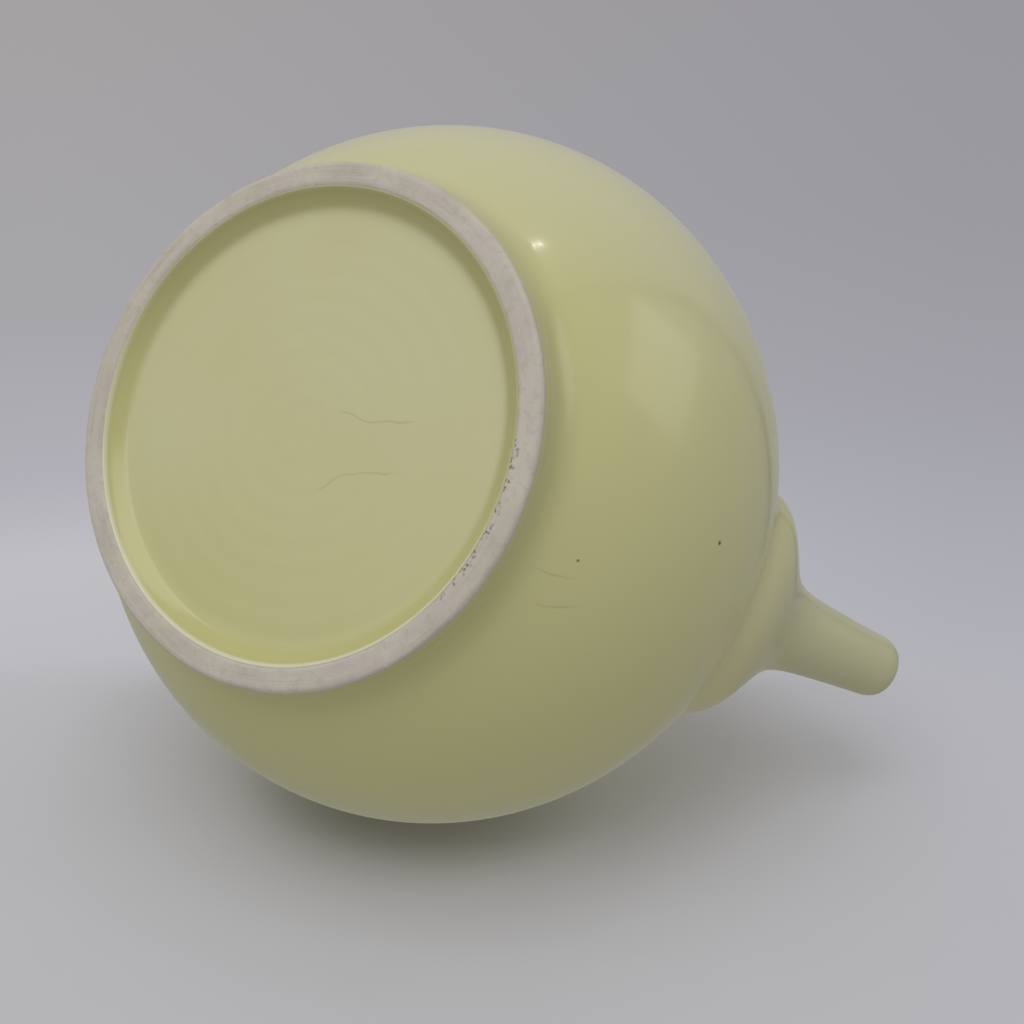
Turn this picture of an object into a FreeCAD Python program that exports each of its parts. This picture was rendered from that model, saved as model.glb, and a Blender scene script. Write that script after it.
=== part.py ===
"""A ball-shaped earthenware teapot: a hollow pot with foot, spout and handle, and a loose lid with a knob.

Millimetres. +Z is the pot's axis, z = 0 is the plane it stands on, the spout points along +X.
"""
import FreeCAD, Part
import math
import os

V = FreeCAD.Vector
UP = V(0, 0, 1)
SIDE = V(0, 1, 0)

# The ball: an ellipsoid of revolution.
belly_r = 78.0
belly_half_height = 65.0
belly_z = 56.3
wall = 4.5

# The foot, and the glazed floor recessed inside it.
foot_r = 52.0
foot_tread_r = 47.0
floor_r = 44.0
floor_z = 3.0
floor_thickness = 5.0
foot_edge_round = 1.1
cove_top_z = 10.5

# The mouth, its ledge for the lid and its rolled rim.
shell_top_z = 110.0
ledge_z = 111.5
ledge_r = 30.0
seat_r = 36.0
rim_top_z = 114.7
notch_r = 32.3
notch_width = 12.0

# The lid, which stands clear of the ledge by a small gap all round.
gap = 0.3
lid_r = 35.4
lid_edge_height = 1.6
lid_top_z = 121.6
lid_wall = 4.2
collar_r = 29.3
collar_wall = 3.2
collar_depth = 7.5
lug_r = 31.8
lug_width = 9.0
lug_height = 2.6
vent_r = 1.5
vent_at_r = 20.0
knob_base_r = 7.5
knob_neck_r = 5.6
knob_r = 10.4
knob_height = 17.6

# The spout: a tube on a circular arc that rises from its swelling root on the shoulder to its rounded lip.
spout_root = V(64.0, 0, 85.0)
spout_root_deg = 38.5
spout_lip_deg = 46.7
spout_length = 46.1
spout_wall = 2.5
spout_lip_r = 7.1
spout_taper = 2.7
spout_swell_width = 16.7
spout_swell_depth = 10.8
spout_swell_end = 10.2
lip_round = 4.0
lip_round_depth = 2.1
strainer_r = 14.0
strainer_hole_r = 1.5
strainer_pitch = 5.0
strainer_rows = 2

# The handle: an ear opposite the spout, through these points of its centre line.
handle_points = [(-48, 98), (-68, 107), (-85.5, 107.5), (-96.9, 97), (-97.7, 79), (-90.5, 61), (-71, 46)]
handle_half_width = 6.6
handle_half_depth = 4.0
handle_stations = 17


def ball_radius(z, inset=0.0):
    """Radius of the ball at height z, or of the cavity when inset is the wall's thickness."""
    height = belly_half_height - inset
    return (belly_r - inset) * math.sqrt(1 - ((z - belly_z) / height) ** 2)


def ball_arc(z_start, z_end, inset=0.0):
    """Edge along the ball's meridian from one height to another."""
    height = belly_half_height - inset
    centre = V(0, 0, belly_z)
    ellipse = Part.Ellipse(V(belly_r - inset, 0, belly_z), V(0, 0, belly_z + height), centre)
    t_start = math.asin((z_start - belly_z) / height)
    t_end = math.asin((z_end - belly_z) / height)
    return Part.ArcOfEllipse(ellipse, t_start, t_end).toShape()


def line(r1, z1, r2, z2):
    return Part.LineSegment(V(r1, 0, z1), V(r2, 0, z2)).toShape()


def arc(r1, z1, rm, zm, r2, z2):
    return Part.Arc(V(r1, 0, z1), V(rm, 0, zm), V(r2, 0, z2)).toShape()


def cap_arc(edge_r, edge_z, top_z):
    """Arc of a shallow dome, from its edge to its crown on the axis."""
    rise = top_z - edge_z
    radius = (edge_r ** 2 + rise ** 2) / (2 * rise)
    mid_r = edge_r / 2
    mid_z = top_z - radius + math.sqrt(radius ** 2 - mid_r ** 2)
    return arc(edge_r, edge_z, mid_r, mid_z, 0, top_z)


def turned(edges):
    """Solid of revolution about Z of a closed outline in the XZ plane."""
    face = Part.Face(Part.Wire(Part.sortEdges(edges)[0]))
    return face.revolve(V(0, 0, 0), UP, 360)


def cylinder(radius, z_start, z_end):
    return Part.makeCylinder(radius, z_end - z_start, V(0, 0, z_start))


def cove():
    """Concave arc that turns from the foot's upright wall into the ball, tangent to both, and its lower end."""
    top_r = ball_radius(cove_top_z)
    slope = (belly_z - cove_top_z) / top_r * (belly_r / belly_half_height) ** 2
    turn = math.atan(slope)
    radius = (top_r - foot_r) / (1 - math.cos(turn))
    start_z = cove_top_z - radius * math.sin(turn)
    mid_r = foot_r + radius * (1 - math.cos(turn / 2))
    mid_z = start_z + radius * math.sin(turn / 2)
    return arc(foot_r, start_z, mid_r, mid_z, top_r, cove_top_z), start_z


def pot_envelope():
    """The closed pot as one solid lump, for trimming what is joined on to it."""
    cove_edge, cove_start_z = cove()
    shell_top_r = ball_radius(shell_top_z)
    return turned([
        line(0, floor_z, foot_r, floor_z),
        line(foot_r, floor_z, foot_r, cove_start_z),
        cove_edge,
        ball_arc(cove_top_z, shell_top_z),
        line(shell_top_r, shell_top_z, 0, shell_top_z),
        line(0, shell_top_z, 0, floor_z)])


def pot_cavity():
    inner_floor_z = floor_z + floor_thickness
    return turned([
        line(0, inner_floor_z, ball_radius(inner_floor_z, wall), inner_floor_z),
        ball_arc(inner_floor_z, shell_top_z, wall),
        line(ball_radius(shell_top_z, wall), shell_top_z, 0, shell_top_z),
        line(0, shell_top_z, 0, inner_floor_z)])


def foot_ring():
    """The ring the pot stands on, sloped inside, with both edges of its tread rounded."""
    ring = turned([
        line(foot_tread_r, 0, foot_r, 0),
        line(foot_r, 0, foot_r, floor_z),
        line(foot_r, floor_z, floor_r, floor_z),
        line(floor_r, floor_z, foot_tread_r, 0)])
    tread_edges = [e for e in ring.Edges if e.BoundBox.ZMax < 0.01 and abs(e.Length) > 1]
    return ring.makeFillet(foot_edge_round, tread_edges)


def mouth_rim():
    """Rolled rim round the mouth, with the ledge the lid rests on and the notch its lug drops through."""
    outer_r = ball_radius(shell_top_z)
    crest_r = seat_r + 1.8
    shoulder_r = seat_r + 3.6
    ring = turned([
        line(ledge_r, shell_top_z, ledge_r, ledge_z),
        line(ledge_r, ledge_z, seat_r, ledge_z),
        line(seat_r, ledge_z, seat_r, rim_top_z - 1.2),
        arc(seat_r, rim_top_z - 1.2, crest_r, rim_top_z, shoulder_r, rim_top_z - 1.1),
        line(shoulder_r, rim_top_z - 1.1, outer_r, shell_top_z),
        line(outer_r, shell_top_z, ledge_r, shell_top_z)])
    return ring.cut(lug_slot(notch_r, notch_width, shell_top_z, ledge_z))


def lug_slot(radius, width, z_start, z_end):
    """Block on the handle side of the axis, rounded to a radius, for the lug and for its notch."""
    block = Part.makeBox(radius, width, z_end - z_start, V(-radius, -width / 2, z_start))
    return block.common(cylinder(radius, z_start, z_end))


def ellipse_wire(centre, across, half_side, half_across):
    """Ellipse centred on a path: one axis along Y, the other along the given direction."""
    edge = Part.Ellipse(centre + SIDE * half_side, centre + across * half_across, centre).toShape()
    return Part.Wire([edge])


def spout_frame(distance):
    """Point and direction of the spout's centre line at a distance from its root."""
    start = math.radians(spout_root_deg)
    end = math.radians(spout_lip_deg)
    bend_r = spout_length / (end - start)
    angle = start + distance / bend_r
    x = spout_root.x + bend_r * (math.sin(angle) - math.sin(start))
    z = spout_root.z - bend_r * (math.cos(angle) - math.cos(start))
    return V(x, 0, z), V(math.cos(angle), 0, math.sin(angle))


def spout_half_sizes(distance):
    """Half width along Y and half depth of the spout: a wide swelling root that draws in to a slim tube."""
    to_lip = max(0.0, spout_length - distance) / 32
    tube = spout_lip_r + spout_taper * to_lip ** 1.27
    swell = 1 / (1 + math.exp((distance - spout_swell_end) / 2.64))
    return tube + 0.05 + spout_swell_width * swell, tube + spout_swell_depth * swell


def spout_loft(stations):
    """Solid through ellipses, each given by its distance from the root and how far it is drawn in."""
    wires = []
    for distance, inset in stations:
        centre, direction = spout_frame(distance)
        half_width, half_depth = spout_half_sizes(distance)
        across = direction.cross(SIDE)
        wires.append(ellipse_wire(centre, across, half_width - inset, half_depth - inset))
    return Part.makeLoft(wires, True, False)


def spout(envelope):
    straight_end = spout_length - lip_round
    outside = [(-12 + (straight_end + 12) * i / 24, 0.0) for i in range(25)]
    for i in range(1, 7):
        angle = math.radians(15 * i)
        outside.append((straight_end + lip_round * math.sin(angle), lip_round_depth * (1 - math.cos(angle))))
    channel = [(-14 + (spout_length + 16) * i / 26, spout_wall) for i in range(27)]
    return spout_loft(outside).cut(spout_loft(channel)).cut(envelope)


def strainer_plug(radius):
    """Cylinder along the spout's root, through the pot's wall."""
    centre, direction = spout_frame(0)
    return Part.makeCylinder(radius, 40, centre - direction * 20, direction)


def strainer_holes():
    """Rings of small holes round a middle one, side by side along the spout's root."""
    centre, direction = spout_frame(0)
    across = direction.cross(SIDE)
    spots = [(0.0, 0.0)]
    for row in range(1, strainer_rows + 1):
        for i in range(6 * row):
            angle = 2 * math.pi * i / (6 * row)
            spots.append((strainer_pitch * row * math.cos(angle), strainer_pitch * row * math.sin(angle)))
    start = centre - direction * 20
    holes = [Part.makeCylinder(strainer_hole_r, 40, start + SIDE * y + across * u, direction)
             for y, u in spots]
    return Part.makeCompound(holes)


def handle(envelope):
    """Ear of flattened oval section, thicker where it is joined on at each end."""
    curve = Part.BSplineCurve()
    curve.interpolate([V(x, 0, z) for x, z in handle_points])
    wires = []
    for i in range(handle_stations):
        along = i / (handle_stations - 1)
        u = curve.FirstParameter + (curve.LastParameter - curve.FirstParameter) * along
        direction = curve.tangent(u)[0]
        flare = 1 + 0.45 * (2 * along - 1) ** 4
        wires.append(ellipse_wire(curve.value(u), direction.cross(SIDE),
                                  handle_half_width * flare, handle_half_depth * flare))
    return Part.makeLoft(wires, True, False).cut(envelope)


def lid_dome():
    """Low dome, hollow below, flat where the knob stands, with one vent."""
    base_z = ledge_z + gap
    edge_z = base_z + lid_edge_height
    hollow_r = collar_r - collar_wall
    dome = turned([
        line(0, base_z, lid_r, base_z),
        line(lid_r, base_z, lid_r, edge_z),
        cap_arc(lid_r, edge_z, lid_top_z + 0.4),
        line(0, lid_top_z + 0.4, 0, base_z)])
    hollow = turned([
        line(0, base_z, hollow_r, base_z),
        cap_arc(hollow_r, base_z, lid_top_z - lid_wall),
        line(0, lid_top_z - lid_wall, 0, base_z)])
    vent = Part.makeCylinder(vent_r, 30, V(vent_at_r, 0, base_z - 5))
    flat = cylinder(lid_r, lid_top_z, lid_top_z + 5)
    return dome.cut(hollow).cut(vent).cut(flat)


def lid_collar():
    top_z = ledge_z + gap
    outside = cylinder(collar_r, top_z - collar_depth, top_z)
    return outside.cut(cylinder(collar_r - collar_wall, top_z - collar_depth, top_z))


def lid_lug():
    """Stop low on the collar; it hangs under the ledge once the lid is turned."""
    bottom_z = ledge_z + gap - collar_depth
    top_z = bottom_z + lug_height
    return lug_slot(lug_r, lug_width, bottom_z, top_z).cut(cylinder(collar_r, bottom_z, top_z))


def lid_knob():
    side = Part.BSplineCurve()
    side.interpolate([V(knob_base_r, 0, lid_top_z),
                      V(knob_neck_r, 0, lid_top_z + 0.24 * knob_height),
                      V(0.86 * knob_r, 0, lid_top_z + 0.52 * knob_height),
                      V(knob_r, 0, lid_top_z + 0.72 * knob_height),
                      V(0.62 * knob_r, 0, lid_top_z + 0.95 * knob_height),
                      V(0, 0, lid_top_z + knob_height)])
    return turned([
        line(0, lid_top_z, knob_base_r, lid_top_z),
        side.toShape(),
        line(0, lid_top_z + knob_height, 0, lid_top_z)])


def main():
    os.makedirs("parts", exist_ok=True)
    envelope = pot_envelope()
    shell = envelope.cut(pot_cavity())
    nodes = {
        "body_shell": shell.cut(strainer_plug(strainer_r)),
        "foot_ring": foot_ring(),
        "mouth_rim": mouth_rim(),
        "spout": spout(envelope),
        "strainer": shell.common(strainer_plug(strainer_r)).cut(strainer_holes()),
        "handle": handle(envelope),
        "lid_dome": lid_dome(),
        "lid_collar": lid_collar(),
        "lid_lug": lid_lug(),
        "lid_knob": lid_knob()}
    for name, shape in nodes.items():
        shape.exportStep(f"parts/{name}.step")
        box = shape.optimalBoundingBox()
        print(f"{name}: valid {shape.isValid()}, solids {len(shape.Solids)}, volume {shape.Volume:.0f}, "
              f"x {box.XMin:.1f} {box.XMax:.1f}, y {box.YMin:.1f} {box.YMax:.1f}, z {box.ZMin:.1f} {box.ZMax:.1f}")


main()
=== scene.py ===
"""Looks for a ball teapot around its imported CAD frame: glaze, bare clay foot, light, stage and camera."""
import math

import bmesh
import bpy
from mathutils import Matrix, Vector


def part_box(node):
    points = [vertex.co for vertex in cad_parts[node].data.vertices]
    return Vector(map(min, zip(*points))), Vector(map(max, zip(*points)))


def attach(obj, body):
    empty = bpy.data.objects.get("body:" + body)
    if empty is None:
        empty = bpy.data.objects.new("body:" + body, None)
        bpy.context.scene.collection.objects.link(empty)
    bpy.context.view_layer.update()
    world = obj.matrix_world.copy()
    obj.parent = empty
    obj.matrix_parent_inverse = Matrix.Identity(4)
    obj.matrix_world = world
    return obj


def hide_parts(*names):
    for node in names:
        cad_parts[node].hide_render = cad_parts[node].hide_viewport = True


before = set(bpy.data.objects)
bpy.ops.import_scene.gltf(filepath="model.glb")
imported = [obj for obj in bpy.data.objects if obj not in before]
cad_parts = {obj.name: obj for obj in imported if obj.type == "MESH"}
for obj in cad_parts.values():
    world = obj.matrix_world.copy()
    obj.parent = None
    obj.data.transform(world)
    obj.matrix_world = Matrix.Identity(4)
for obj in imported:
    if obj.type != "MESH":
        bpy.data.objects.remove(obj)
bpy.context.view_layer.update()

# Shapes are drawn in millimetres, which MM turns into metres; materials, light and stage are in metres.
MM = 0.001
SIDE = Vector((0, 1, 0))

# The ball, read from the CAD shell, and its foot and mouth.
shell_low, shell_high = (Vector(corner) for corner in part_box("body_shell"))
rim_high = Vector(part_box("mouth_rim")[1])
BELLY_R = shell_high.x / MM
BELLY_HALF_HEIGHT = 65.0
BELLY_Z = 56.3
WALL = 4.5
FOOT_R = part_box("foot_ring")[1][0] / MM
TREAD_R = 47.0
FLOOR_R = 43.0
FLOOR_Z = shell_low.z / MM + 0.5
FLOOR_CROWN = 0.4
FLOOR_STEPS = 24
INNER_FLOOR_Z = shell_low.z / MM + 5.0
INNER_CORNER_HEIGHT = 1.5
INNER_CORNER_WIDTH = 7.0
INNER_FLOOR_STEP = 5.0
COVE_TOP_Z = 10.5
SHELL_TOP_Z = shell_high.z / MM
LEDGE_Z = 111.5
LEDGE_R = 30.0
SEAT_R = 36.0
RIM_TOP_Z = rim_high.z / MM
NOTCH_R = 32.3
NOTCH_WIDTH = 12.0
NOTCH_EDGE = 1.0

# The lid.
LID_BASE_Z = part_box("lid_dome")[0][2] / MM
LID_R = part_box("lid_dome")[1][0] / MM
LID_EDGE_HEIGHT = 1.6
LID_EDGE_ROUND = 0.8
LID_TOP_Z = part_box("lid_dome")[1][2] / MM
LID_WALL = 4.2
COLLAR_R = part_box("lid_collar")[1][0] / MM
COLLAR_WALL = 3.2
COLLAR_DEPTH = 7.5
KNOB_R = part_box("lid_knob")[1][0] / MM
KNOB_HEIGHT = (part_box("lid_knob")[1][2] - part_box("lid_knob")[0][2]) / MM
VENT_R = 1.5
VENT_AT_R = 20.0
KNOB_SINK = 1.0

# The spout's centre line is a circular arc in the XZ plane.
SPOUT_ROOT = Vector((64.0, 0, 85.0))
SPOUT_ROOT_DEG = 38.5
SPOUT_LIP_DEG = 46.7
SPOUT_LENGTH = 46.1
SPOUT_WALL = 2.5
SPOUT_LIP_R = 7.1
SPOUT_TAPER = 2.7
SPOUT_SWELL_WIDTH = 16.7
SPOUT_SWELL_DEPTH = 10.8
SPOUT_SWELL_END = 10.2
SPOUT_SWELL_FADE = 2.64
SPOUT_FILLET = 3.0
LIP_ROUND = 4.0
LIP_ROUND_DEPTH = 2.1
STRAINER_R = 14.0
STRAINER_PLUG_REACH = 20

# Points of the handle's centre line, and its section's half sizes.
HANDLE_POINTS = [(-48, 98), (-68, 107), (-85.5, 107.5), (-96.9, 97), (-97.7, 79), (-90.5, 61), (-71, 46)]
HANDLE_HALF_WIDTH = 6.6
HANDLE_HALF_DEPTH = 4.0
HANDLE_FLARE = 0.45
HANDLE_FILLET = 4.0

# How finely round shapes are divided, and how a limb is let into the ball.
TURN_STEPS = 256
LIMB_STEPS = 60
FILLET_STEPS = 8
ROOT_SINK = 0.12
BISECTIONS = 30
CREASE_DEG = 40
WELD_DISTANCE = 0.002


# ---------------------------------------------------------------- outlines

def ball_radius(z, inset=0.0):
    """Radius of the ball, or of the cavity inside its wall, at height z."""
    return (BELLY_R - inset) * math.sqrt(max(0.0, 1 - ((z - BELLY_Z) / (BELLY_HALF_HEIGHT - inset)) ** 2))


def ball_points(z_start, z_end, steps, inset=0.0):
    """Meridian of the ball from one height to another, evenly spaced in angle."""
    height = BELLY_HALF_HEIGHT - inset
    start = math.asin((z_start - BELLY_Z) / height)
    end = math.asin((z_end - BELLY_Z) / height)
    angles = [start + (end - start) * i / steps for i in range(steps + 1)]
    return [((BELLY_R - inset) * math.cos(a), BELLY_Z + height * math.sin(a)) for a in angles]


def bezier(start, control, end, steps):
    """Quadratic curve that rounds a corner: leaves start towards control and arrives at end."""
    points = []
    for i in range(steps + 1):
        t = i / steps
        points.append(tuple((1 - t) ** 2 * a + 2 * t * (1 - t) * c + t ** 2 * b
                            for a, c, b in zip(start, control, end)))
    return points


def smooth_line(points, steps):
    """Catmull-Rom curve through points, steps to each span."""
    padded = [points[0]] + list(points) + [points[-1]]
    line = []
    for p0, p1, p2, p3 in zip(padded, padded[1:], padded[2:], padded[3:]):
        for i in range(steps):
            t = i / steps
            line.append(tuple(0.5 * (2 * b + (c - a) * t + (2 * a - 5 * b + 4 * c - d) * t ** 2
                                     + (3 * b - a - 3 * c + d) * t ** 3)
                              for a, b, c, d in zip(p0, p1, p2, p3)))
    line.append(tuple(points[-1]))
    return line


def cove_points(steps):
    """Concave arc from the foot's upright wall into the ball, tangent to both."""
    top_r = ball_radius(COVE_TOP_Z)
    slope = (BELLY_Z - COVE_TOP_Z) / top_r * (BELLY_R / BELLY_HALF_HEIGHT) ** 2
    turn = math.atan(slope)
    radius = (top_r - FOOT_R) / (1 - math.cos(turn))
    start_z = COVE_TOP_Z - radius * math.sin(turn)
    angles = [turn * i / steps for i in range(steps + 1)]
    return [(FOOT_R + radius * (1 - math.cos(a)), start_z + radius * math.sin(a)) for a in angles]


def cap_points(edge_r, edge_z, top_z, steps):
    """Shallow dome from its edge to its crown on the axis."""
    rise = top_z - edge_z
    radius = (edge_r ** 2 + rise ** 2) / (2 * rise)
    radii = [edge_r * (1 - i / steps) for i in range(steps + 1)]
    return [(r, top_z - radius + math.sqrt(radius ** 2 - r ** 2)) for r in radii]


# ---------------------------------------------------------------- meshes

def new_piece(name, vertices, faces, material):
    mesh = bpy.data.meshes.new(name)
    mesh.from_pydata([tuple(Vector(v) * MM) for v in vertices], [], faces)
    mesh.materials.append(material)
    piece = bpy.data.objects.new(name, mesh)
    bpy.context.scene.collection.objects.link(piece)
    tidy_mesh(piece)
    return piece


def tidy_mesh(piece):
    """Joins doubled points, turns every face outwards and shades smooth up to the crease angle."""
    shape = bmesh.new()
    shape.from_mesh(piece.data)
    bmesh.ops.remove_doubles(shape, verts=shape.verts, dist=WELD_DISTANCE * MM)
    bmesh.ops.recalc_face_normals(shape, faces=shape.faces)
    for face in shape.faces:
        face.smooth = True
    limit = math.radians(CREASE_DEG)
    for edge in shape.edges:
        edge.smooth = len(edge.link_faces) == 2 and edge.calc_face_angle(0) < limit
    shape.to_mesh(piece.data)
    shape.free()


def turned(name, outline, material, steps=TURN_STEPS, shift=None):
    """Mesh turned about Z from a closed outline of (radius, height) points.

    shift gives a point's moved radius and height for an angle."""
    vertices = []
    for i in range(steps):
        angle = 2 * math.pi * i / steps
        for r, z in outline:
            if shift:
                r, z = shift(r, z, angle)
            vertices.append((r * math.cos(angle), r * math.sin(angle), z))
    count = len(outline)
    faces = []
    for i in range(steps):
        here = i * count
        there = (i + 1) % steps * count
        for j in range(count):
            after = (j + 1) % count
            if outline[j][0] > 0 or outline[after][0] > 0:
                faces.append((here + j, here + after, there + after, there + j))
    return new_piece(name, vertices, faces, material)


def tube(name, rings, material, close_ends=False):
    """Mesh through rings of equally many points; the last ring joins the first unless the ends are closed."""
    count = len(rings[0])
    vertices = [point for ring in rings for point in ring]
    faces = []
    spans = len(rings) - 1 if close_ends else len(rings)
    for i in range(spans):
        here = i * count
        there = (i + 1) % len(rings) * count
        for j in range(count):
            after = (j + 1) % count
            faces.append((here + j, here + after, there + after, there + j))
    if close_ends:
        faces.append(tuple(range(count)))
        last = (len(rings) - 1) * count
        faces.append(tuple(last + j for j in range(count)))
    return new_piece(name, vertices, faces, material)


def carve(piece, cutter):
    """Cuts one mesh out of another for good."""
    cut = piece.modifiers.new("cut", "BOOLEAN")
    cut.operation = "DIFFERENCE"
    cut.solver = "EXACT"
    cut.object = cutter
    bpy.context.view_layer.update()
    evaluated = piece.evaluated_get(bpy.context.evaluated_depsgraph_get())
    mesh = bpy.data.meshes.new_from_object(evaluated)
    piece.modifiers.clear()
    piece.data = mesh
    bpy.data.objects.remove(cutter)
    tidy_mesh(piece)


# ---------------------------------------------------------------- the pot

def underside_points():
    """Recessed floor, and the glazed wall that rolls down from it to the tread."""
    floor = [(FLOOR_R * i / FLOOR_STEPS, FLOOR_Z + FLOOR_CROWN * (1 - (i / FLOOR_STEPS) ** 2))
             for i in range(FLOOR_STEPS)]
    corner = bezier(floor[-1], (FLOOR_R + 0.1, FLOOR_Z), (FLOOR_R + 0.9, FLOOR_Z - 0.6), 8)
    wall = bezier(corner[-1], (TREAD_R - 1.2, FLOOR_Z - 1.9), (TREAD_R - 0.3, 0.4), 12)
    glaze_edge = bezier(wall[-1], (TREAD_R - 0.1, 0.15), (TREAD_R + 0.1, 0.2), 4)
    return floor + corner[1:] + wall[1:] + glaze_edge[1:]


def cavity_points():
    """Inside of the pot, from the mouth down to the middle of its floor."""
    corner_z = INNER_FLOOR_Z + INNER_CORNER_HEIGHT
    corner_r = ball_radius(corner_z, WALL)
    flat_r = corner_r - INNER_CORNER_WIDTH
    inside = ball_points(corner_z, SHELL_TOP_Z, 64, WALL)
    corner = bezier((corner_r, corner_z), (corner_r - 2.5, INNER_FLOOR_Z), (flat_r, INNER_FLOOR_Z), 6)
    flat = [(flat_r - i * INNER_FLOOR_STEP, INNER_FLOOR_Z) for i in range(1, 5)]
    return list(reversed(inside)) + corner[1:] + flat + [(0, INNER_FLOOR_Z)]


def make_body(material):
    """The ball with its recessed floor, foot wall and cove, hollow, up to where the rim starts."""
    inside_ring = [(TREAD_R + 0.5, 0.9), (FOOT_R - 0.9, 1.6)]
    foot_wall = [(FOOT_R - 0.1, 0.95), (FOOT_R, 1.5), (FOOT_R, 3.5)]
    outline = (underside_points() + inside_ring + foot_wall + cove_points(14)
               + ball_points(COVE_TOP_Z, SHELL_TOP_Z, 110)[1:] + cavity_points())
    body = turned("pot_body", outline, material)
    carve(body, strainer_plug(material))
    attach(body, "pot")
    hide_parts("body_shell")


def strainer_plug(material):
    """Cylinder through the wall where the strainer stands."""
    centre, direction = spout_frame(0)
    rings = [ellipse_ring(centre + direction * reach, direction.cross(SIDE), STRAINER_R, STRAINER_R, 64)
             for reach in (-STRAINER_PLUG_REACH, STRAINER_PLUG_REACH)]
    return tube("strainer_plug", rings, material, close_ends=True)


def make_foot(material):
    """The bare clay ring the pot stands on, its tread rounded at both edges."""
    flat_inner_r = TREAD_R + 0.9
    flat_outer_r = FOOT_R - 1.3
    inner = bezier((TREAD_R - 0.9, 1.7), (TREAD_R - 0.1, 0.1), (flat_inner_r, 0), 8)
    tread = [(flat_inner_r + (flat_outer_r - flat_inner_r) * i / 6, 0) for i in range(1, 6)]
    outer = bezier((flat_outer_r, 0), (FOOT_R + 0.05, 0.05), (FOOT_R - 0.02, 1.3), 8)
    outline = inner + tread + outer + [(FOOT_R - 0.6, 2.2), (TREAD_R, 2.2)]
    foot = turned("foot_ring_bare", outline, material)
    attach(foot, "pot")
    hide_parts("foot_ring")


def make_rim(material):
    """The rolled rim and the ledge under the lid, with the notch on the handle's side."""
    crest_r = SEAT_R + 1.9
    brow = (SEAT_R + 3.9, RIM_TOP_Z - 1.4)
    top_r = ball_radius(SHELL_TOP_Z)
    slope_r = ball_radius(SHELL_TOP_Z - 0.5) - top_r
    outside = bezier((top_r, SHELL_TOP_Z), (top_r - 2 * slope_r, SHELL_TOP_Z + 1.0), brow, 10)
    roll = bezier(brow, (SEAT_R + 3.0, RIM_TOP_Z), (crest_r, RIM_TOP_Z), 8)
    drop = bezier((crest_r, RIM_TOP_Z), (SEAT_R, RIM_TOP_Z), (SEAT_R, RIM_TOP_Z - 1.7), 8)
    seat = bezier((SEAT_R, LEDGE_Z + 0.6), (SEAT_R, LEDGE_Z), (SEAT_R - 0.6, LEDGE_Z), 4)
    lip = bezier((LEDGE_R + 0.7, LEDGE_Z), (LEDGE_R, LEDGE_Z), (LEDGE_R, LEDGE_Z - 0.7), 5)
    outline = outside + roll[1:] + drop[1:] + seat + lip + [(LEDGE_R, SHELL_TOP_Z)]
    reach = NOTCH_WIDTH / 2 + NOTCH_EDGE

    def notch(r, z, angle):
        across = abs(r * math.sin(angle))
        if math.cos(angle) < 0 and r < NOTCH_R and across < reach:
            return r + (NOTCH_R - r) * min(1.0, (reach - across) / NOTCH_EDGE), z
        return r, z

    rim = turned("mouth_rim_rolled", outline, material, shift=notch)
    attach(rim, "pot")
    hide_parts("mouth_rim")


def ellipse_ring(centre, across, half_side, half_across, steps=96):
    """Ring of points: one axis along Y, the other along across."""
    angles = [2 * math.pi * i / steps for i in range(steps)]
    return [centre + SIDE * (half_side * math.cos(a)) + across * (half_across * math.sin(a)) for a in angles]


def spout_frame(distance):
    """Point and direction of the spout's centre line at a distance from its root."""
    start = math.radians(SPOUT_ROOT_DEG)
    end = math.radians(SPOUT_LIP_DEG)
    bend_r = SPOUT_LENGTH / (end - start)
    angle = start + distance / bend_r
    x = SPOUT_ROOT.x + bend_r * (math.sin(angle) - math.sin(start))
    z = SPOUT_ROOT.z - bend_r * (math.cos(angle) - math.cos(start))
    return Vector((x, 0, z)), Vector((math.cos(angle), 0, math.sin(angle)))


def spout_half_sizes(distance):
    """Half width and half depth of the spout: a wide swelling root that draws in to a slim tube."""
    to_lip = max(0.0, SPOUT_LENGTH - distance) / 32
    tube_r = SPOUT_LIP_R + SPOUT_TAPER * to_lip ** 1.27
    swell = 1 / (1 + math.exp((distance - SPOUT_SWELL_END) / SPOUT_SWELL_FADE))
    return tube_r + 0.05 + SPOUT_SWELL_WIDTH * swell, tube_r + SPOUT_SWELL_DEPTH * swell


def spout_ring(distance, inset):
    centre, direction = spout_frame(distance)
    half_width, half_depth = spout_half_sizes(distance)
    return ellipse_ring(centre, direction.cross(SIDE), half_width - inset, half_depth - inset)


def outside_ball(point):
    """How far outside the ball a point is, as a share of the ball's size."""
    flat = math.hypot(point[0], point[1]) / BELLY_R
    return math.hypot(flat, (point[2] - BELLY_Z) / BELLY_HALF_HEIGHT) - 1


def on_ball(point, sink=0.0):
    """The point moved on to the ball's surface along the line from the ball's centre, sunk by a little."""
    centre = Vector((0, 0, BELLY_Z))
    ray = Vector(point) - centre
    scale = 1 / (1 + outside_ball(point))
    return centre + ray * scale - ray.normalized() * sink


def leaves_ball_at(ring_at, j, start, end):
    """Distance at which line j of a limb comes out of the ball, found by halving."""
    low, high = start, end
    for _ in range(BISECTIONS):
        middle = (low + high) / 2
        if outside_ball(ring_at(middle)[j]) > 0:
            high = middle
        else:
            low = middle
    return high


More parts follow.
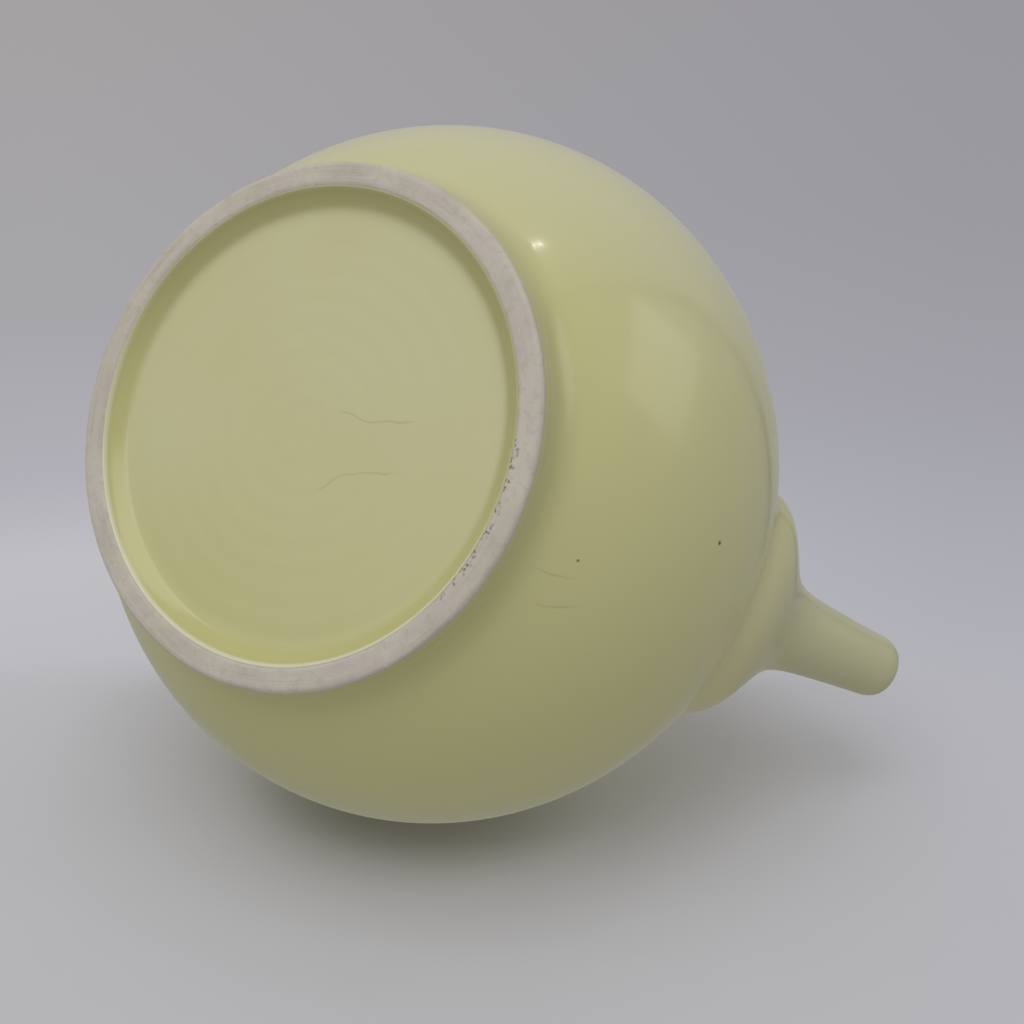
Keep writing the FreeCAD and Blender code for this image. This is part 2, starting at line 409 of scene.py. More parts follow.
def rooted(ring_at, start, end, fillet):
    """Rings of a limb that grows out of the ball, with a fillet that spreads on to the ball at its root.

    ring_at gives the limb's ring at a distance."""
    lines = range(len(ring_at(start)))
    meets = [leaves_ball_at(ring_at, j, start, end) for j in lines]
    corners = [ring_at(meets[j])[j] for j in lines]
    centre = sum(corners, Vector()) / len(corners)
    spreads = [on_ball(corner + (corner - centre).normalized() * fillet, ROOT_SINK) for corner in corners]
    aboves = [ring_at(meets[j] + fillet)[j] for j in lines]
    rings = []
    for k in range(FILLET_STEPS + 1):
        t = k / FILLET_STEPS
        rings.append([spread * (1 - t) ** 2 + on_ball(corner) * (2 * t * (1 - t)) + above * t ** 2
                      for spread, corner, above in zip(spreads, corners, aboves)])
    for k in range(1, LIMB_STEPS + 1):
        t = k / LIMB_STEPS
        rings.append([ring_at(meets[j] + fillet + (end - meets[j] - fillet) * t)[j] for j in lines])
    return rings


def make_spout(material):
    """Hollow spout with a fillet at its root and a rounded lip."""
    straight_end = SPOUT_LENGTH - LIP_ROUND
    outside = rooted(lambda distance: spout_ring(distance, 0.0), -12.0, straight_end, SPOUT_FILLET)
    rounding = []
    for i in range(1, 13):
        angle = math.pi / 2 * i / 12
        rounding.append(spout_ring(straight_end + LIP_ROUND * math.sin(angle),
                                   LIP_ROUND_DEPTH * (1 - math.cos(angle))))
    inside = [spout_ring(SPOUT_LENGTH - 0.4 - (SPOUT_LENGTH + 3.6) * i / 40, SPOUT_WALL) for i in range(41)]
    root = [on_ball(point, 0.5) for point in inside[-1]]
    spout = tube("spout_tube", outside + rounding + inside + [root], material)
    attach(spout, "pot")
    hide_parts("spout")


def make_handle(material):
    """Ear-shaped handle of flattened oval section, spread on to the ball at both ends."""
    line = [Vector((x, 0, z)) for x, z in smooth_line(HANDLE_POINTS, 16)]
    count = len(line) - 1

    def ring_at(place):
        place = min(max(place, 0.0), count - 0.001)
        i = int(place)
        centre = line[i].lerp(line[i + 1], place - i)
        before = line[max(i - 1, 0)].lerp(line[i], place - i)
        after = line[i + 1].lerp(line[min(i + 2, count)], place - i)
        direction = (after - before).normalized()
        flare = 1 + HANDLE_FLARE * (2 * place / count - 1) ** 4
        across = direction.cross(SIDE)
        return ellipse_ring(centre, across, HANDLE_HALF_WIDTH * flare, HANDLE_HALF_DEPTH * flare)

    middle = count / 2
    upper = rooted(ring_at, 0.0, middle, HANDLE_FILLET)
    lower = rooted(lambda place: ring_at(count - place), 0.0, count - middle, HANDLE_FILLET)
    handle = tube("handle_ear", upper + list(reversed(lower))[1:], material, close_ends=True)
    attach(handle, "pot")
    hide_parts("handle")


# ---------------------------------------------------------------- the lid

def make_lid_dome(material):
    """Shallow dome, hollow below, with a steam vent through it."""
    hollow_r = COLLAR_R - COLLAR_WALL
    edge_top = LID_BASE_Z + LID_EDGE_HEIGHT
    edge_low = bezier((LID_R - LID_EDGE_ROUND, LID_BASE_Z), (LID_R, LID_BASE_Z),
                      (LID_R, LID_BASE_Z + LID_EDGE_ROUND), 5)
    crown = cap_points(LID_R, edge_top, LID_TOP_Z + 0.4, 60)
    edge_high = bezier((LID_R, LID_BASE_Z + 0.9), (LID_R, edge_top + 0.1), crown[2], 6)
    hollow = cap_points(hollow_r, LID_BASE_Z, LID_TOP_Z - LID_WALL, 30)
    outline = edge_low + edge_high + crown[3:] + list(reversed(hollow)) + [(hollow_r + 1, LID_BASE_Z)]
    dome = turned("lid_dome_glazed", outline, material)
    vent = [ellipse_ring(Vector((VENT_AT_R, 0, z)), Vector((1, 0, 0)), VENT_R, VENT_R, 48)
            for z in (LID_BASE_Z - 5, LID_TOP_Z + 5)]
    carve(dome, tube("vent", vent, material, close_ends=True))
    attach(dome, "lid")
    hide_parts("lid_dome")


def make_lid_collar(material):
    """The ring under the dome that keeps the lid in the mouth."""
    low_z = LID_BASE_Z - COLLAR_DEPTH
    inner_r = COLLAR_R - COLLAR_WALL
    mid_r = COLLAR_R - COLLAR_WALL / 2
    outline = (bezier((inner_r, low_z + 1.4), (inner_r, low_z), (mid_r, low_z), 6)
               + bezier((mid_r, low_z), (COLLAR_R, low_z), (COLLAR_R, low_z + 1.4), 6)[1:]
               + [(COLLAR_R, LID_BASE_Z), (inner_r, LID_BASE_Z)])
    collar = turned("lid_collar_ring", outline, material)
    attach(collar, "lid")
    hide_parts("lid_collar")


def make_lid_knob(material):
    """Waisted knob that spreads on to the dome below it."""
    side = smooth_line([(10.5, LID_TOP_Z - 0.25), (8.0, LID_TOP_Z + 0.4), (5.9, LID_TOP_Z + 3.2),
                        (6.6, LID_TOP_Z + 7.2), (0.96 * KNOB_R, LID_TOP_Z + 0.64 * KNOB_HEIGHT),
                        (0.97 * KNOB_R, LID_TOP_Z + 0.80 * KNOB_HEIGHT),
                        (0.60 * KNOB_R, LID_TOP_Z + 0.955 * KNOB_HEIGHT),
                        (0, LID_TOP_Z + 0.995 * KNOB_HEIGHT)], 10)
    outline = side + [(0, LID_TOP_Z - KNOB_SINK), (9.0, LID_TOP_Z - KNOB_SINK)]
    knob = turned("lid_knob_round", outline, material, steps=128)
    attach(knob, "lid")
    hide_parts("lid_knob")


# ---------------------------------------------------------------- materials

class Nodes:
    """A small helper that adds nodes to a material's or the world's tree and links their sockets."""

    def __init__(self, owner):
        owner.use_nodes = True
        self.tree = owner.node_tree
        self.shader = self.tree.nodes.get("Principled BSDF")
        self.place = self.add("ShaderNodeTexCoord").outputs["Object"]

    def add(self, kind, **settings):
        node = self.tree.nodes.new(kind)
        for key, value in settings.items():
            setattr(node, key, value)
        return node

    def put(self, node, socket, value):
        """Sets a socket to a number or colour, or links it to another node's output."""
        if isinstance(value, bpy.types.NodeSocket):
            self.tree.links.new(value, node.inputs[socket])
        else:
            node.inputs[socket].default_value = value

    def noise(self, scale, detail=3.0, roughness=0.5, vector=None):
        node = self.add("ShaderNodeTexNoise")
        self.put(node, "Vector", vector or self.place)
        self.put(node, "Scale", scale)
        self.put(node, "Detail", detail)
        self.put(node, "Roughness", roughness)
        return node.outputs["Fac"]

    def cells(self, scale):
        """Distance from the nearest of many scattered points, in cells."""
        node = self.add("ShaderNodeTexVoronoi", feature="F1")
        self.put(node, "Vector", self.place)
        self.put(node, "Scale", scale)
        return node.outputs["Distance"]

    def math(self, operation, a, b=0.0):
        node = self.add("ShaderNodeMath", operation=operation)
        self.put(node, 0, a)
        self.put(node, 1, b)
        return node.outputs[0]

    def span(self, value, low, high, to_low=0.0, to_high=1.0):
        """Maps a value from one range to another with smooth ends."""
        node = self.add("ShaderNodeMapRange", interpolation_type="SMOOTHSTEP")
        self.put(node, "Value", value)
        self.put(node, "From Min", low)
        self.put(node, "From Max", high)
        self.put(node, "To Min", to_low)
        self.put(node, "To Max", to_high)
        return node.outputs["Result"]

    def between(self, value, low, high, soft):
        """1 where a value lies between two limits, with soft ends."""
        above = self.span(value, low - soft, low + soft)
        return self.math("MULTIPLY", above, self.span(value, high - soft, high + soft, 1, 0))

    def mix(self, factor, a, b, blend_type="MIX"):
        node = self.add("ShaderNodeMix", data_type="RGBA", blend_type=blend_type)
        self.put(node, "Factor", factor)
        self.put(node, 6, a)
        self.put(node, 7, b)
        return node.outputs[2]

    def radius_and_height(self):
        """Distance from the pot's axis and height above its standing plane, in metres."""
        parts = self.add("ShaderNodeSeparateXYZ")
        self.put(parts, 0, self.place)
        x, y, z = parts.outputs
        squared = self.math("ADD", self.math("MULTIPLY", x, x), self.math("MULTIPLY", y, y))
        return self.math("SQRT", squared), z

    def distance(self, place, point):
        """Distance from a place to a fixed point, in metres."""
        node = self.add("ShaderNodeVectorMath", operation="DISTANCE")
        self.put(node, 0, place)
        self.put(node, 1, point)
        return node.outputs["Value"]

    def dot(self, vector, direction):
        """How far a vector reaches along a fixed direction."""
        node = self.add("ShaderNodeVectorMath", operation="DOT_PRODUCT")
        self.put(node, 0, vector)
        self.put(node, 1, direction)
        return node.outputs["Value"]

    def turn_angle(self):
        """Angle round the pot's axis from the spout's side, in radians."""
        parts = self.add("ShaderNodeSeparateXYZ")
        self.put(parts, 0, self.place)
        return self.math("ARCTAN2", parts.outputs[1], parts.outputs[0])

    def ring_place(self, radius, across, round_about):
        """Coordinates that vary fast across the wheel's rings and slowly along them."""
        joined = self.add("ShaderNodeCombineXYZ")
        self.put(joined, 0, self.math("MULTIPLY", radius, across))
        self.put(joined, 1, self.math("MULTIPLY", self.math("ABSOLUTE", self.turn_angle()), round_about))
        return joined.outputs[0]

    def bump(self, height, strength, distance, under=None):
        node = self.add("ShaderNodeBump")
        self.put(node, "Strength", strength)
        self.put(node, "Distance", distance)
        self.put(node, "Height", height)
        if under:
            self.put(node, "Normal", under)
        return node.outputs["Normal"]

    def along(self, vector, direction, low, high):
        """How far a vector points along a direction, as 0 to 1 between low and high."""
        node = self.add("ShaderNodeMapRange")
        self.put(node, "Value", self.dot(vector, direction))
        self.put(node, "From Min", low)
        self.put(node, "From Max", high)
        return node.outputs["Result"]

    def ramp(self, value, stops):
        """Colour that runs through stops of (position, colour)."""
        node = self.add("ShaderNodeValToRGB")
        while len(node.color_ramp.elements) < len(stops):
            node.color_ramp.elements.new(0.5)
        for element, (position, colour) in zip(node.color_ramp.elements, stops):
            element.position = position
            element.color = (*colour, 1)
        self.put(node, "Fac", value)
        return node.outputs["Color"]


GLAZE_THIN = (0.655, 0.64, 0.385, 1)
# Paler glaze for the -Y side, which faces the overhead light: painted light.
GLAZE_LIT_PALE = (0.655, 0.645, 0.43, 1)
GLAZE_MID = (0.64, 0.615, 0.34, 1)
GLAZE_THICK = (0.62, 0.60, 0.285, 1)
# Deeper glaze where it pools, darkened further as painted shade: on the floor towards +Y, in the recess
# corner and in the cove.
GLAZE_POOLED_AND_SHADED = (0.56, 0.535, 0.215, 1)
# Dark glaze for the -Y recess wall: a painted shadow, as cast by the foot ring.
GLAZE_SHADOWED = (0.47, 0.445, 0.185, 1)
# Darker, duller glaze on spout and handle, beyond the ball's equator: painted shade.
GLAZE_LIMBS_SHADED = (0.555, 0.54, 0.335, 1)
GLAZE_EDGE = (0.74, 0.73, 0.52, 1)
GLAZE_LINE = (0.42, 0.38, 0.20, 1)
SPECK = (0.17, 0.13, 0.04, 1)
# Hair lines as (start, end, bow) on the foot's plane, in millimetres.
HAIR_LINES = [((3.7, -5.5, 0), (23.6, -9.9, 0), 1.3), ((7.3, 10.9, 0), (24.0, 0.1, 0), -1.6),
              ((52.7, 6.3, 0), (61.2, 4.7, 0), 0.5), ((54.4, 11.9, 0), (63.5, 9.0, 0), 0.4)]
HAIR_LINE_SHAKE = 0.004
HAIR_LINE_FADE = 0.002
# Two dark iron spots in the glaze low on the spout side, in metres, with their radii.
IRON_SPOTS = [((0.0744, -0.0116, 0.0394), 0.0004), ((0.0596, 0.0018, 0.0144), 0.00025)]

# Where the glaze changes, and where shade is painted on it: pairs of distances from the pot's axis, or
# heights above its standing plane, between which each change runs, in metres.
# Between these distances from the axis the painted shade of spout and handle sets in.
LIMB_SHADE_RADII = (0.077, 0.084)
LOW_BODY_HEIGHTS = (0.02, 0.085)
FOOT_WALL_HEIGHTS = (0.0036, 0.0060)
UNDERSIDE_HEIGHTS = (0.0048, 0.0042)
CORNER_RADII = (0.0434, 0.049)
COVE_RADII = (0.0505, 0.0515)
COVE_HEIGHTS = (0.011, 0.005)
GLAZE_EDGE_RADII = (0.0464, 0.0474)
GLAZE_EDGE_HEIGHTS = (0.0018, 0.0006)
RING_HEIGHTS = (0.006, 0.004)
HAIR_LINE_HEIGHTS = (0.028, 0.030)
# Distances along +Y, between which the glaze turns paler towards -Y as painted light, deeper with painted
# shade on the underside towards +Y, darkest on the -Y recess wall as a painted shadow, and its pale edge
# fainter towards -Y as painted shade, in metres.
# Towards -Y the glaze turns paler, as painted light on the side facing the overhead light.
LIT_PALE_SIDE = (-0.070, -0.035)
# Towards +Y the recessed floor turns deeper and darker: thicker glaze with painted shade.
POOLED_AND_SHADED_SIDE = (0.005, 0.045)
# Across these distances the recess corner turns from the painted shadow at -Y to the deeper shaded glaze at
# +Y.
SHADOWED_WALL_SIDE = (-0.02, 0.02)
# Towards -Y the pale edge by the bare ring fades, as painted shade.
GLAZE_EDGE_SHADE_SIDE = (-0.02, 0.03)
# The wheel's rings on the floor, in radians of a sine wave to the metre.
RING_WAVES = 1150.0


def glaze_sides_and_painted_shade(n, tone, height):
    """Glaze that changes along Y: paler towards -Y, which faces the overhead light, as painted light; thicker
    and more vivid towards +Y and in the corners, with painted shade; a painted shadow on the -Y recess wall.
    """
    sideways = n.dot(n.place, SIDE)
    radius, _ = n.radius_and_height()
    # Painted light: paler towards -Y, the side that faces the overhead light.
    tone = n.mix(n.span(sideways, *LIT_PALE_SIDE, 0.55, 0.0), tone, GLAZE_LIT_PALE)
    under = n.span(height, *UNDERSIDE_HEIGHTS)
    # Recessed floor deeper and darker towards +Y, away from the overhead light: thicker glaze with painted
    # shade.
    tone = n.mix(n.math("MULTIPLY", n.span(sideways, *POOLED_AND_SHADED_SIDE, 0.10, 0.55), under), tone, GLAZE_POOLED_AND_SHADED)
    # Recess corner and cove: thicker glaze, darkened with painted shade as in a crease.
    corner = n.math("MULTIPLY", n.between(radius, *CORNER_RADII, 0.0012), under)
    cove = n.math("MULTIPLY", n.span(radius, *COVE_RADII), n.span(height, *COVE_HEIGHTS))
    pooled_and_shaded = n.math("MAXIMUM", n.math("MULTIPLY", corner, 0.85), n.math("MULTIPLY", cove, 0.4))
    # Painted shadow on the -Y recess wall, deeper glaze with painted shade towards +Y.
    tone = n.mix(pooled_and_shaded, tone, n.mix(n.span(sideways, *SHADOWED_WALL_SIDE), GLAZE_SHADOWED, GLAZE_POOLED_AND_SHADED))
    # Against the bare ring the glaze thins out to a pale edge, kept faint towards -Y as painted shade.
    low = n.span(height, *GLAZE_EDGE_HEIGHTS)
    edge = n.math("MULTIPLY", n.between(radius, *GLAZE_EDGE_RADII, 0.0003), low)
    return n.mix(n.math("MULTIPLY", edge, n.span(sideways, *GLAZE_EDGE_SHADE_SIDE, 0.15, 1.0)), tone, GLAZE_EDGE)


def glaze_colour(n, radius, height):
    """Butter yellow: cloudy, deeper towards the foot, darker and duller on spout and handle as painted shade,
    and deepest where it pools in the corners, where painted shade is added too.
    """
    cloud = n.span(n.noise(16.0, 3.0, 0.5), 0.32, 0.68)
    tone = n.mix(cloud, GLAZE_MID, GLAZE_THIN)
    uneven_height = n.math("ADD", height, n.math("MULTIPLY", n.noise(9.0, 2.0), 0.02))
    low_down = n.span(uneven_height, *LOW_BODY_HEIGHTS, 1.0, 0.0)
    tone = n.mix(n.math("MULTIPLY", low_down, n.span(height, *FOOT_WALL_HEIGHTS)), tone, GLAZE_THICK)
    # Painted shade: spout and handle are darkened and dulled beyond the ball's equator.
    tone = n.mix(n.span(radius, *LIMB_SHADE_RADII), tone, GLAZE_LIMBS_SHADED)
    return glaze_sides_and_painted_shade(n, tone, height)


def hair_line(n, start, end, bow):
    """A faint bowed line between two points of the foot's plane (mm), fading at its ends; 1 on the line."""
    start, end = Vector(start) * MM, Vector(end) * MM
    length = (end - start).length
    run = (end - start).normalized()
    side = Vector((-run.y, run.x, 0))
    from_start = n.add("ShaderNodeVectorMath", operation="SUBTRACT")
    n.put(from_start, 0, n.place)
    n.put(from_start, 1, start)
    along_run, across_run = (n.dot(from_start.outputs[0], way) for way in (run, side))
    part = n.span(along_run, 0.0, length)
    curve = n.math("MULTIPLY", n.math("MULTIPLY", part, n.math("SUBTRACT", 1.0, part)), 4 * bow * MM)
    shake = n.math("MULTIPLY", n.math("SUBTRACT", n.noise(120.0, 2.0), 0.5), HAIR_LINE_SHAKE)
    off_line = n.math("ABSOLUTE", n.math("SUBTRACT", across_run, n.math("ADD", curve, shake)))
    kept = n.between(along_run, HAIR_LINE_FADE, length - HAIR_LINE_FADE, HAIR_LINE_FADE)
    return n.math("MULTIPLY", n.span(off_line, 0.00010, 0.00035, 1.0, 0.0), kept)


def fine_lines(n, height):
    """The hair lines on the recessed floor and low on the body by the spout, kept off the upper half."""
    lines = 0.0
    for start, end, bow in HAIR_LINES:
        lines = n.math("MAXIMUM", lines, hair_line(n, start, end, bow))
    return n.math("MULTIPLY", lines, n.span(height, *HAIR_LINE_HEIGHTS, 0.35, 0.0))


def specks(n):
    """A few dark dots scattered by a cell pattern, and the two iron spots."""
    few = n.span(n.noise(19.0, 0.0), 0.64, 0.66, 0.0, 0.6)
    dots = n.math("MULTIPLY", n.span(n.cells(60.0), 0.006, 0.018, 1.0, 0.0), few)
    for spot, radius in IRON_SPOTS:
        ragged = n.math("ADD", n.distance(n.place, spot), n.math("MULTIPLY", n.noise(900.0, 2.0), 0.0006))
        dots = n.math("MAXIMUM", dots, n.span(ragged, radius + 0.0001, radius + 0.0005, 1.0, 0.0))
    return dots


def glaze(name, has_lines=False):
    """Glossy, slightly cloudy glaze with orange peel, specks, throwing rings below and perhaps hair lines."""
    material = bpy.data.materials.new(name)
    n = Nodes(material)
    radius, height = n.radius_and_height()
    tone = glaze_colour(n, radius, height)
    if has_lines:
        tone = n.mix(fine_lines(n, height), tone, GLAZE_LINE)
    n.put(n.shader, "Base Color", n.mix(specks(n), tone, SPECK))
    orange_peel = n.bump(n.noise(260.0, 2.0), 0.10, 0.0002)
    swell = n.bump(n.noise(34.0, 1.5), 0.20, 0.0008, orange_peel)
    uneven_radius = n.math("ADD", radius, n.math("MULTIPLY", n.noise(20.0), 0.002))
    rings = n.math("SINE", n.math("MULTIPLY", uneven_radius, RING_WAVES))
    rings_below = n.math("MULTIPLY", rings, n.span(height, *RING_HEIGHTS))
    n.put(n.shader, "Normal", n.bump(rings_below, 0.13, 0.0002, swell))
    n.put(n.shader, "Roughness", n.span(n.noise(60.0), 0.3, 0.7, 0.17, 0.26))
    n.put(n.shader, "IOR", 1.5)
    n.put(n.shader, "Coat Weight", 0.2)
    n.put(n.shader, "Coat Roughness", 0.07)
    n.put(n.shader, "Subsurface Weight", 0.12)
    n.put(n.shader, "Subsurface Radius", (0.004, 0.003, 0.0015))
    n.put(n.shader, "Subsurface Scale", 1.0)
    return material


BISCUIT_LIGHT = (0.64, 0.59, 0.50, 1)
BISCUIT_DARK = (0.49, 0.445, 0.38, 1)
BISCUIT_PINK = (0.60, 0.53, 0.50, 1)
PIT = (0.19, 0.175, 0.15, 1)
PIT_SECTOR_DEG = (-18, 22)
PIT_RADII = (0.0477, 0.0489)
PIT_CELLS = 1300.0


def biscuit():
    """Bare clay, wiped round and round, with a run of small dark pits on the inner edge of one side."""
    material = bpy.data.materials.new("biscuit")
    n = Nodes(material)
    radius, _ = n.radius_and_height()
    grain = n.noise(520.0, 4.0, 0.75)
    wiped = n.noise(1.0, 3.0, 0.7, vector=n.ring_place(radius, 1900.0, 2.0))
    tone = n.mix(n.span(n.noise(60.0, 4.0, 0.6), 0.3, 0.7), BISCUIT_DARK, BISCUIT_LIGHT)
    tone = n.mix(n.span(wiped, 0.35, 0.65, 0.0, 0.7), tone, BISCUIT_LIGHT)
    tone = n.mix(n.span(grain, 0.34, 0.52, 0.6, 0.0), tone, BISCUIT_DARK)
    tone = n.mix(n.span(n.noise(150.0, 2.0), 0.42, 0.68, 0.0, 0.5), tone, BISCUIT_PINK)
    inner = n.span(radius, *PIT_RADII, 1.0, 0.0)
    sector = n.between(n.turn_angle(), *(math.radians(a) for a in PIT_SECTOR_DEG), 0.08)
    few = n.math("MULTIPLY", n.span(n.noise(420.0, 1.0), 0.46, 0.56), n.math("MULTIPLY", inner, sector))
    pitted = n.math("MULTIPLY", n.span(n.cells(PIT_CELLS), 0.20, 0.50, 1.0, 0.0), few)
    n.put(n.shader, "Base Color", n.mix(pitted, tone, PIT))
    grooves = n.bump(wiped, 0.35, 0.0003)
    rough = n.bump(grain, 0.40, 0.0002, grooves)
    n.put(n.shader, "Normal", n.bump(n.math("SUBTRACT", 1.0, pitted), 0.3, 0.0002, rough))
    n.put(n.shader, "Roughness", n.span(n.noise(300.0), 0.3, 0.7, 0.80, 0.92))
    n.put(n.shader, "Specular IOR Level", 0.25)
    return material


# ---------------------------------------------------------------- stage, light and camera

# The camera looks up at the pot's foot, as if the pot lay on its side on a table.
CAMERA_PLACE = Vector((0.1605, -0.0111, -0.2193))
CAMERA_RIGHT = Vector((0.8103, -0.4051, 0.4235))
CAMERA_UP = Vector((-0.3779, -0.9135, -0.1506))
LENS_MM = 49.2
SENSOR_MM = 36.0
# The table's upward direction in that pose; the camera is pitched down towards it by this much.
CAMERA_PITCH_DEG = 20.0


def camera_axes():
    right = CAMERA_RIGHT.normalized()
    back = right.cross(CAMERA_UP).normalized()
    return right, back.cross(right), back


def table_axes():
    """Right, up and towards-the-camera directions of the table the pot seems to lie on."""
    right, up, back = camera_axes()
    pitch = math.radians(CAMERA_PITCH_DEG)
    table_up = up * math.cos(pitch) + back * math.sin(pitch)
    return right, table_up, right.cross(table_up)


def make_camera():
    data = bpy.data.cameras.new("camera")
    data.lens = LENS_MM
    data.sensor_width = SENSOR_MM
    camera = bpy.data.objects.new("camera", data)
    bpy.context.scene.collection.objects.link(camera)
    turn = Matrix(camera_axes()).transposed()
    camera.matrix_world = Matrix.Translation(CAMERA_PLACE) @ turn.to_4x4()
    bpy.context.scene.camera = camera


# Backdrop greys from far below the table's horizon (0) to the horizon (1), on the left and on the right.
BACKDROP_LEFT = [(0.0, (0.475, 0.47, 0.495)), (0.20, (0.465, 0.46, 0.485)), (0.36, (0.50, 0.495, 0.525)),
                 (0.46, (0.525, 0.52, 0.55)), (0.54, (0.44, 0.435, 0.48)), (0.70, (0.385, 0.38, 0.40)),
                 (1.0, (0.375, 0.36, 0.365))]
BACKDROP_RIGHT = [(0.0, (0.45, 0.445, 0.49)), (0.32, (0.46, 0.455, 0.50)), (0.46, (0.415, 0.42, 0.46)),
                  (0.62, (0.36, 0.355, 0.395)), (0.80, (0.328, 0.323, 0.353)), (1.0, (0.318, 0.312, 0.335))]
# Studio light from all round, from straight below the table to straight above it.
SURROUND = [(0.0, (0.42, 0.42, 0.41)), (0.35, (0.40, 0.40, 0.40)), (0.55, (0.42, 0.42, 0.425)),
            (0.75, (0.48, 0.48, 0.47)), (1.0, (0.50, 0.49, 0.48))]

# What the glaze mirrors from under the belly: the table in the pot's own shade.
MIRRORED_SHADE = (0.26, 0.26, 0.22, 1)
# The far edge of the backdrop sheet, which the glaze mirrors as a dark line.
SHEET_EDGE = [(0.0, (0.97, 0.97, 0.97)), (0.36, (0.92, 0.92, 0.92)), (0.44, (0.05, 0.05, 0.04)),
              (0.56, (0.05, 0.05, 0.04)), (0.66, (1.12, 1.12, 1.12)), (1.0, (1.0, 1.0, 1.0))]


def make_world():
    """Pale backdrop for the camera, and soft light that is stronger from above the table."""
    right, up, near = table_axes()
    world = bpy.data.worlds.new("world")
    bpy.context.scene.world = world
    n = Nodes(world)
    toward = n.add("ShaderNodeTexCoord").outputs["Generated"]
    height = n.along(toward, up, -0.66, 0.0)
    across = n.along(toward, right, -0.30, 0.30)
    backdrop = n.mix(across, n.ramp(height, BACKDROP_LEFT), n.ramp(height, BACKDROP_RIGHT))
    edge_side = -right * 0.61 + up * 0.39 - near * 0.69
    edge = n.ramp(n.along(toward, edge_side, -0.15, 0.15), SHEET_EDGE)
    surround = n.ramp(n.along(toward, up, -1.0, 1.0), SURROUND)
    surround = n.mix(n.along(toward, right, 0.25, 0.5), surround, edge, "MULTIPLY")
    light_path = n.add("ShaderNodeLightPath").outputs
    mirrored = n.math("MULTIPLY", light_path["Is Glossy Ray"], n.along(toward, up, -0.25, -0.75))
    surround = n.mix(mirrored, surround, MIRRORED_SHADE)
    n.put(n.tree.nodes["Background"], "Color", n.mix(light_path["Is Camera Ray"], surround, backdrop))


def soft_light(name, toward, distance, width, height, watts, upright):
    """Rectangular soft light in a direction from the pot's middle, facing it; upright is its height's way."""
    data = bpy.data.lights.new(name, "AREA")
    data.shape = "RECTANGLE"
    data.size = width
    data.size_y = height
    data.energy = watts
    light = bpy.data.objects.new(name, data)
    bpy.context.scene.collection.objects.link(light)
    away = toward.normalized()
    across = upright.cross(away).normalized()
    turn = Matrix((across, away.cross(across), away)).transposed()
    light.matrix_world = Matrix.Translation(Vector((0, 0, BELLY_Z * MM)) + away * distance) @ turn.to_4x4()
    return light


def make_lights():
    """A large light above the front, a window and a lamp that show as reflections, one light over the lid."""
    right, up, near = table_axes()
    soft_light("overhead", up * 0.90 - right * 0.16 + near * 0.42, distance=1.3,
               width=1.1, height=1.1, watts=6.6, upright=near)
    window = soft_light("window", right * 0.83 + up * 0.53 + near * 0.12, distance=1.2,
                        width=0.52, height=0.66, watts=0.88, upright=near * 0.94 - up * 0.31 + right * 0.10)
    window.visible_diffuse = False
    soft_light("lamp", right * 0.27 + up * 0.96 - near * 0.08, distance=1.5,
               width=0.040, height=0.020, watts=0.16, upright=near)
    top = soft_light("top", Vector((-0.6, -0.2, 1.0)), distance=1.3,
                     width=0.9, height=0.9, watts=5.0, upright=near)
    top.visible_glossy = False


TABLE_COLOUR = (0.625, 0.62, 0.67, 1)
# Painted contact shadow: colour of the table sheet where the belly touches it.
CONTACT_SHADOW_COLOUR = (0.35, 0.345, 0.36, 1)
FLOOR_COLOUR = (0.84, 0.84, 0.85, 1)
CLOUD_SHADE = 0.98
TABLE_SIZE = 0.5
TABLE_MIDDLE_NEARER = 0.03
TABLE_FADE = (0.09, 0.20)
TABLE_END_BEHIND = (0.075, 0.105)
# Distances from the contact point over which the painted contact shadow fades out.
CONTACT_SHADOW_FADE = (0.012, 0.048)
FLOOR_SIZE = 8.0
FLOOR_FADE = (0.8, 3.5)


def one_sided(name, colour, fade, touched_at=None):
    """Pale matt sheet seen only from its front, fading out between two distances from its middle.

    Round the point where the pot touches it the sheet has a painted shadow, as dark as under a real belly,
    which keeps the soft light off it. Beyond that point, behind the pot, it ends early.
    """
    material = bpy.data.materials.new(name)
    n = Nodes(material)
    tone = n.mix(n.noise(60.0, 2.0), colour, tuple(CLOUD_SHADE * c for c in colour[:3]) + (1,))
    kept = n.span(n.distance(n.place, (0, 0, 0)), *fade, 1.0, 0.0)
    if touched_at is not None:
        # Painted contact shadow on the sheet round the point where the pot touches it.
        tone = n.mix(n.span(n.distance(n.place, touched_at), *CONTACT_SHADOW_FADE, 1.0, 0.0), tone, CONTACT_SHADOW_COLOUR)
        behind = n.dot(n.place, touched_at.normalized())
        kept = n.math("MULTIPLY", kept, n.span(behind, *TABLE_END_BEHIND, 1.0, 0.0))
    n.put(n.shader, "Base Color", tone)
    n.put(n.shader, "Roughness", 0.9)
    n.put(n.shader, "Specular IOR Level", 0.1)
    front = n.math("SUBTRACT", 1.0, n.add("ShaderNodeNewGeometry").outputs["Backfacing"])
    n.put(n.shader, "Alpha", n.math("MULTIPLY", kept, front))
    return material


def sheet_turn(normal):
    """Rotation that lays a flat sheet square to a direction."""
    return normal.to_track_quat("Z", "Y").to_matrix()


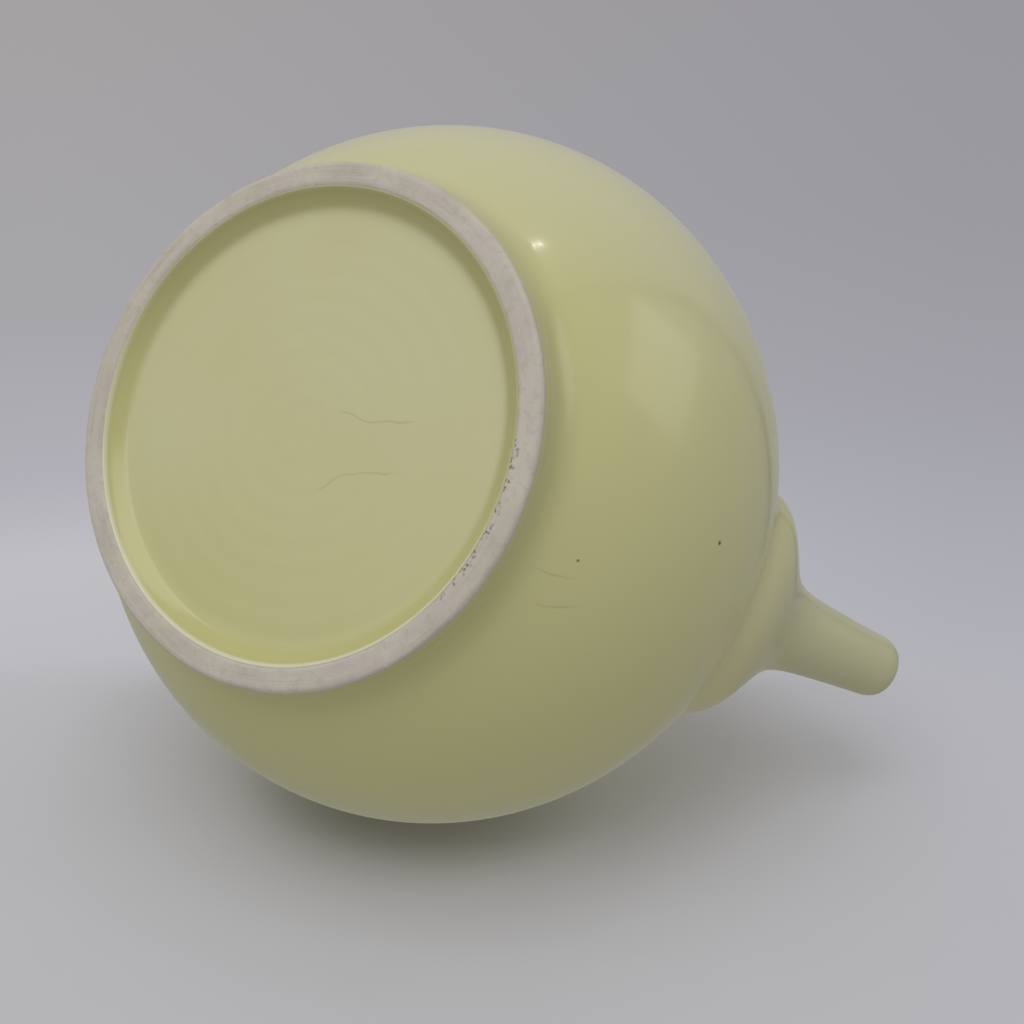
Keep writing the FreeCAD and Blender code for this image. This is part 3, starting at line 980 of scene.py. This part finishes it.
def make_sheet(name, middle, normal, size, material):
    """Square sheet that shows to the camera only, so it neither lights nor shades the pot."""
    mesh = bpy.data.meshes.new(name)
    half = size / 2
    corners = [(-half, -half, 0), (half, -half, 0), (half, half, 0), (-half, half, 0)]
    mesh.from_pydata(corners, [], [(0, 1, 2, 3)])
    mesh.materials.append(material)
    sheet = bpy.data.objects.new(name, mesh)
    bpy.context.scene.collection.objects.link(sheet)
    sheet.matrix_world = Matrix.Translation(middle) @ sheet_turn(normal).to_4x4()
    sheet.visible_diffuse = False
    sheet.visible_glossy = False
    sheet.visible_transmission = False
    sheet.visible_shadow = False


def make_stage():
    """The floor the pot stands on, and the patch of table under its belly in the photographed pose."""
    _, up, near = table_axes()
    reach = Vector((BELLY_R * up.x, BELLY_R * up.y, BELLY_HALF_HEIGHT * up.z))
    drop = Vector((BELLY_R ** 2 * up.x, BELLY_R ** 2 * up.y, BELLY_HALF_HEIGHT ** 2 * up.z)) / reach.length
    contact = (Vector((0, 0, BELLY_Z)) - drop) * MM
    middle = contact + near * TABLE_MIDDLE_NEARER
    touched_at = sheet_turn(up).inverted() @ (contact - middle)
    table_matt = one_sided("table_matt", TABLE_COLOUR, TABLE_FADE, touched_at)
    floor_matt = one_sided("floor_matt", FLOOR_COLOUR, FLOOR_FADE)
    make_sheet("table", middle, up, TABLE_SIZE, table_matt)
    make_sheet("floor", Vector((0, 0, 0)), Vector((0, 0, 1)), FLOOR_SIZE, floor_matt)


def main():
    pot_glaze = glaze("glaze", has_lines=True)
    lid_glaze = glaze("lid_glaze")
    bare = biscuit()
    make_camera()
    make_world()
    make_lights()
    make_stage()
    make_body(pot_glaze)
    make_foot(bare)
    make_rim(pot_glaze)
    make_spout(pot_glaze)
    make_handle(pot_glaze)
    make_lid_dome(lid_glaze)
    make_lid_collar(lid_glaze)
    make_lid_knob(lid_glaze)
    for name, material in (("strainer", pot_glaze), ("lid_lug", lid_glaze)):
        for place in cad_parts[name].material_slots:
            place.material = material


main()
bpy.context.scene.view_settings.view_transform = "Standard"
